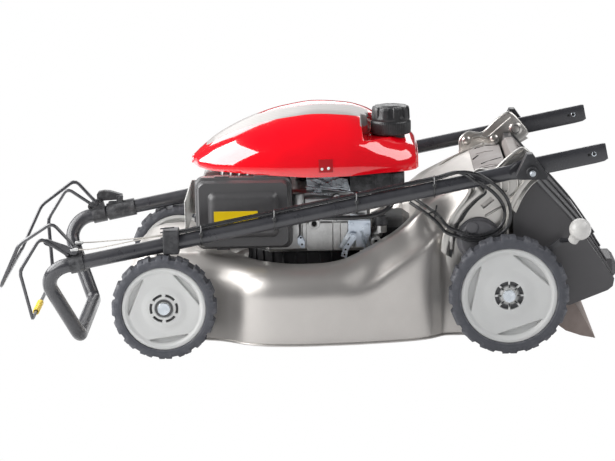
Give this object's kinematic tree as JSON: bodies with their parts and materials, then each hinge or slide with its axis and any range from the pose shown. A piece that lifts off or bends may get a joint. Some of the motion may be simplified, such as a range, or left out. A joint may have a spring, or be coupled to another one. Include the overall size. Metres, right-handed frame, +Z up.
{
  "type": "lawn mower",
  "caption": "Petrol lawn mower with a pressed silver deck, a red engine cover, four grey wheels and a tubular handle folded forward over the engine.",
  "frame": {"origin": "on the ground, under the middle of the bounding box", "axes": "+X towards the discharge guard at the back, +Z up from the ground, +Y to the mower's right side, the far side in the picture"},
  "size_m": [1.0724, 0.527, 0.401],
  "materials": {
    "silver_deck_paint": "metallic silver paint",
    "red_gloss_plastic": "gloss",
    "black_plastic": "fine grain",
    "charcoal_tube_paint": "satin paint",
    "tyre_rubber": "matt",
    "light_grey_rim_plastic": "satin",
    "zinc_plated_steel": "zinc plated",
    "cast_aluminium": "as cast",
    "pressed_stay_steel": "metallic silver paint",
    "blade_steel": "black oxide",
    "grey_tunnel_plastic": "matt",
    "light_grey_guard_paint": "satin paint",
    "brown_grey_rubber": "matt",
    "pale_grey_knob_plastic": "gloss",
    "filter_paper": "matt"
  },
  "bodies": {
    "deck": {"deck_shell": "silver_deck_paint", "stay_left": "pressed_stay_steel", "stay_right": "pressed_stay_steel", "tunnel_cover": "grey_tunnel_plastic", "rear_shroud": "black_plastic", "drive_cover": "black_plastic", "gearbox": "cast_aluminium", "drive_belt": "tyre_rubber", "engine_base": "black_plastic", "crankcase": "cast_aluminium", "cylinder_head": "cast_aluminium", "muffler": "blade_steel", "muffler_guard": "light_grey_guard_paint", "carburettor": "cast_aluminium", "filter_base": "black_plastic", "filter_element": "filter_paper", "engine_cover": "red_gloss_plastic", "fuel_tank": "black_plastic", "governor_bracket": "zinc_plated_steel", "brake_bracket": "zinc_plated_steel"},
    "crank": {"crankshaft": "blade_steel", "flywheel": "cast_aluminium", "blade_holder": "zinc_plated_steel", "blade": "blade_steel", "blade_bolt": "zinc_plated_steel", "engine_pulley": "zinc_plated_steel"},
    "starter": {"starter_pulley": "black_plastic"},
    "input_pulley": {"gearbox_pulley": "zinc_plated_steel"},
    "governor": {"governor_arm": "zinc_plated_steel"},
    "filler_cap": {"fuel_cap": "black_plastic"},
    "oil_filler_cap": {"oil_cap": "black_plastic"},
    "filter_lid": {"filter_cover": "black_plastic"},
    "handle": {"handle_tube": "charcoal_tube_paint", "bail_bracket_left": "black_plastic", "bail_bracket_right": "black_plastic", "console": "black_plastic", "cable_guide": "black_plastic", "brake_cable": "black_plastic", "drive_cable": "black_plastic"},
    "outer_bail": {"drive_bail": "charcoal_tube_paint"},
    "inner_bail": {"brake_bail": "charcoal_tube_paint"},
    "paddle": {"console_paddle": "black_plastic"},
    "knob_left": {"clamp_knob_left": "black_plastic"},
    "knob_right": {"clamp_knob_right": "black_plastic"},
    "guard": {"discharge_guard": "black_plastic"},
    "skirt": {"trailing_skirt": "brown_grey_rubber"},
    "rear_height": {"rear_axle": "zinc_plated_steel", "height_lever": "charcoal_tube_paint", "height_knob": "pale_grey_knob_plastic"},
    "front_height": {"front_axle": "zinc_plated_steel"},
    "link": {"link_rod": "zinc_plated_steel"},
    "shaft": {"drive_shaft": "zinc_plated_steel"},
    "wheel_front_left": {"tyre_front_left": "tyre_rubber", "rim_front_left": "light_grey_rim_plastic"},
    "wheel_front_right": {"tyre_front_right": "tyre_rubber", "rim_front_right": "light_grey_rim_plastic"},
    "wheel_rear_left": {"tyre_rear_left": "tyre_rubber", "rim_rear_left": "light_grey_rim_plastic"},
    "wheel_rear_right": {"tyre_rear_right": "tyre_rubber", "rim_rear_right": "light_grey_rim_plastic"}
  },
  "joints": [
    {"name": "handle_fold", "type": "hinge", "parent": "deck", "child": "handle", "pos_m": [0.37517, 0, 0.3135], "axis": [0, 1, 0], "range_deg": [0, 148], "deforming": ["brake_cable", "drive_cable"]},
    {"name": "outer_bail_turn", "type": "hinge", "parent": "handle", "child": "outer_bail", "pos_m": [-0.39483, 0, 0.186], "axis": [0, -1, 0], "range_deg": [0, 24], "stiffness_Nm_per_rad": 0.8, "springref_deg": -25.78, "deforming": ["drive_cable"]},
    {"name": "inner_bail_turn", "type": "hinge", "parent": "handle", "child": "inner_bail", "pos_m": [-0.40683, 0, 0.18], "axis": [0, -1, 0], "range_deg": [0, 20], "stiffness_Nm_per_rad": 0.8, "springref_deg": -22.92, "deforming": ["brake_cable"]},
    {"name": "paddle_press", "type": "hinge", "parent": "handle", "child": "paddle", "pos_m": [-0.35483, 0.2195, 0.1945], "axis": [0, 1, 0], "range_deg": [0, 30]},
    {"name": "left_knob_turn", "type": "hinge", "parent": "handle", "child": "knob_left", "pos_m": [0.37517, -0.2248, 0.3135], "axis": [0, -1, 0], "continuous": true},
    {"name": "right_knob_turn", "type": "hinge", "parent": "handle", "child": "knob_right", "pos_m": [0.37517, 0.2248, 0.3135], "axis": [0, 1, 0], "continuous": true},
    {"name": "guard_lift", "type": "hinge", "parent": "deck", "child": "guard", "pos_m": [0.35717, 0, 0.3], "axis": [0, -1, 0], "range_deg": [0, 65]},
    {"name": "skirt_swing", "type": "hinge", "parent": "deck", "child": "skirt", "pos_m": [0.39317, 0, 0.1195], "axis": [0, -1, 0], "range_deg": [0, 25]},
    {"name": "filter_lid_open", "type": "hinge", "parent": "deck", "child": "filter_lid", "pos_m": [-0.19583, -0.1255, 0.1695], "axis": [1, 0, 0], "range_deg": [0, 16]},
    {"name": "fuel_cap_turn", "type": "hinge", "parent": "deck", "child": "filler_cap", "pos_m": [0.14417, -0.05, 0.35], "axis": [0, 0, 1], "range_deg": [0, 90]},
    {"name": "oil_cap_turn", "type": "hinge", "parent": "deck", "child": "oil_filler_cap", "pos_m": [0.12317, -0.102, 0.1985], "axis": [0, 0, 1], "range_deg": [0, 180]},
    {"name": "governor_turn", "type": "hinge", "parent": "deck", "child": "governor", "pos_m": [0.01317, -0.103, 0.277], "axis": [0, -1, 0], "range_deg": [0, 9], "stiffness_Nm_per_rad": 0.02},
    {"name": "starter_turn", "type": "hinge", "parent": "deck", "child": "starter", "pos_m": [-0.01183, 0, 0.345], "axis": [0, 0, 1], "range_deg": [0, 1440], "stiffness_Nm_per_rad": 0.02},
    {"name": "crank_spin", "type": "hinge", "parent": "deck", "child": "crank", "pos_m": [-0.01183, 0, 0.2], "axis": [0, 0, 1], "continuous": true},
    {"name": "input_pulley_spin", "type": "hinge", "parent": "deck", "child": "input_pulley", "pos_m": [0.28257, 0, 0.1], "axis": [0, 0, 1], "continuous": true},
    {"name": "rear_height_turn", "type": "hinge", "parent": "deck", "child": "rear_height", "pos_m": [0.28257, 0, 0.07454], "axis": [0, 1, 0], "range_deg": [0, 53]},
    {"name": "front_height_turn", "type": "hinge", "parent": "deck", "child": "front_height", "pos_m": [-0.30043, 0, 0.06204], "axis": [0, 1, 0], "range_deg": [0, 53]},
    {"name": "link_turn", "type": "hinge", "parent": "rear_height", "child": "link", "pos_m": [0.29257, -0.146, 0.10654], "axis": [0, 1, 0], "range_deg": [-53, 0]},
    {"name": "drive_shaft_spin", "type": "hinge", "parent": "deck", "child": "shaft", "pos_m": [0.28257, 0, 0.07454], "axis": [0, 1, 0], "continuous": true},
    {"name": "front_left_wheel_roll", "type": "hinge", "parent": "front_height", "child": "wheel_front_left", "pos_m": [-0.24683, -0.2235, 0.089], "axis": [0, 1, 0], "continuous": true},
    {"name": "front_right_wheel_roll", "type": "hinge", "parent": "front_height", "child": "wheel_front_right", "pos_m": [-0.24683, 0.2235, 0.089], "axis": [0, 1, 0], "continuous": true},
    {"name": "rear_left_wheel_roll", "type": "hinge", "parent": "rear_height", "child": "wheel_rear_left", "pos_m": [0.33617, -0.22925, 0.1015], "axis": [0, 1, 0], "continuous": true},
    {"name": "rear_right_wheel_roll", "type": "hinge", "parent": "rear_height", "child": "wheel_rear_right", "pos_m": [0.33617, 0.22925, 0.1015], "axis": [0, 1, 0], "continuous": true}
  ],
  "couplings": [
    {"joint": "front_height_turn", "follows": "rear_height_turn", "ratio": 1},
    {"joint": "link_turn", "follows": "rear_height_turn", "ratio": -1},
    {"joint": "input_pulley_spin", "follows": "crank_spin", "ratio": 0.656}
  ]
}
